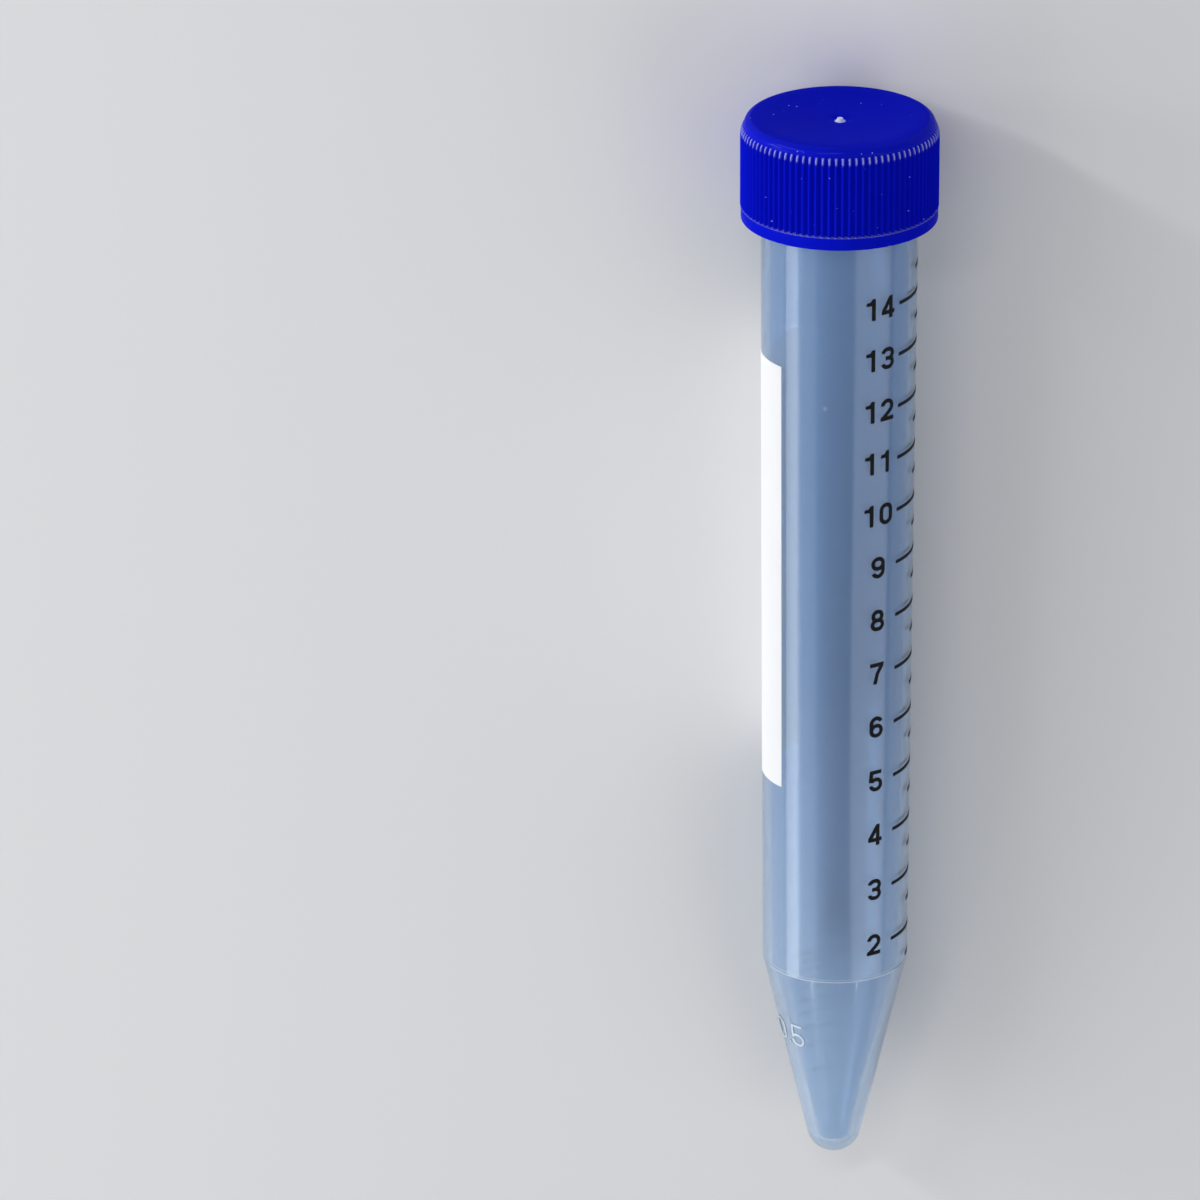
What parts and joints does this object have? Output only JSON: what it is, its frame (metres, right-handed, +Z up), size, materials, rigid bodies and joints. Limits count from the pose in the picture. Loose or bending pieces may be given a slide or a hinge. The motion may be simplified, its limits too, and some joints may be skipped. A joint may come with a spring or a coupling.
{
  "type": "15 ml conical tube",
  "caption": "Translucent conical-bottom centrifuge tube with a ribbed screw cap, a printed volume scale and a white writing panel; it holds small liquid samples.",
  "frame": {"origin": "centre of the bottom of the box round the closed tube, which lies on its side at rest", "axes": "+X from the tip towards the cap, +Z up; the tube's own axis rises towards the cap by 1.8 degrees from +X, and the scale's figures face up and towards -Y"},
  "size_m": [0.1208, 0.021, 0.0212],
  "materials": {
    "clear_polypropylene": "translucent natural polypropylene, smooth and slightly milky",
    "blue_cap_plastic": "deep blue moulded plastic with a soft gloss",
    "white_ink": "matt white screen-printed ink",
    "black_ink": "matt black screen-printed ink"
  },
  "bodies": {
    "tube_body": {"tube": "clear_polypropylene", "writing_panel": "white_ink", "scale_print": "black_ink"},
    "cap_body": {"cap": "blue_cap_plastic"}
  },
  "joints": [
    {"name": "cap_lift", "type": "slide", "parent": "tube_body", "child": "cap_body", "axis": [0.9995, 0, 0.0306], "range_m": [0, 0.03]}
  ]
}
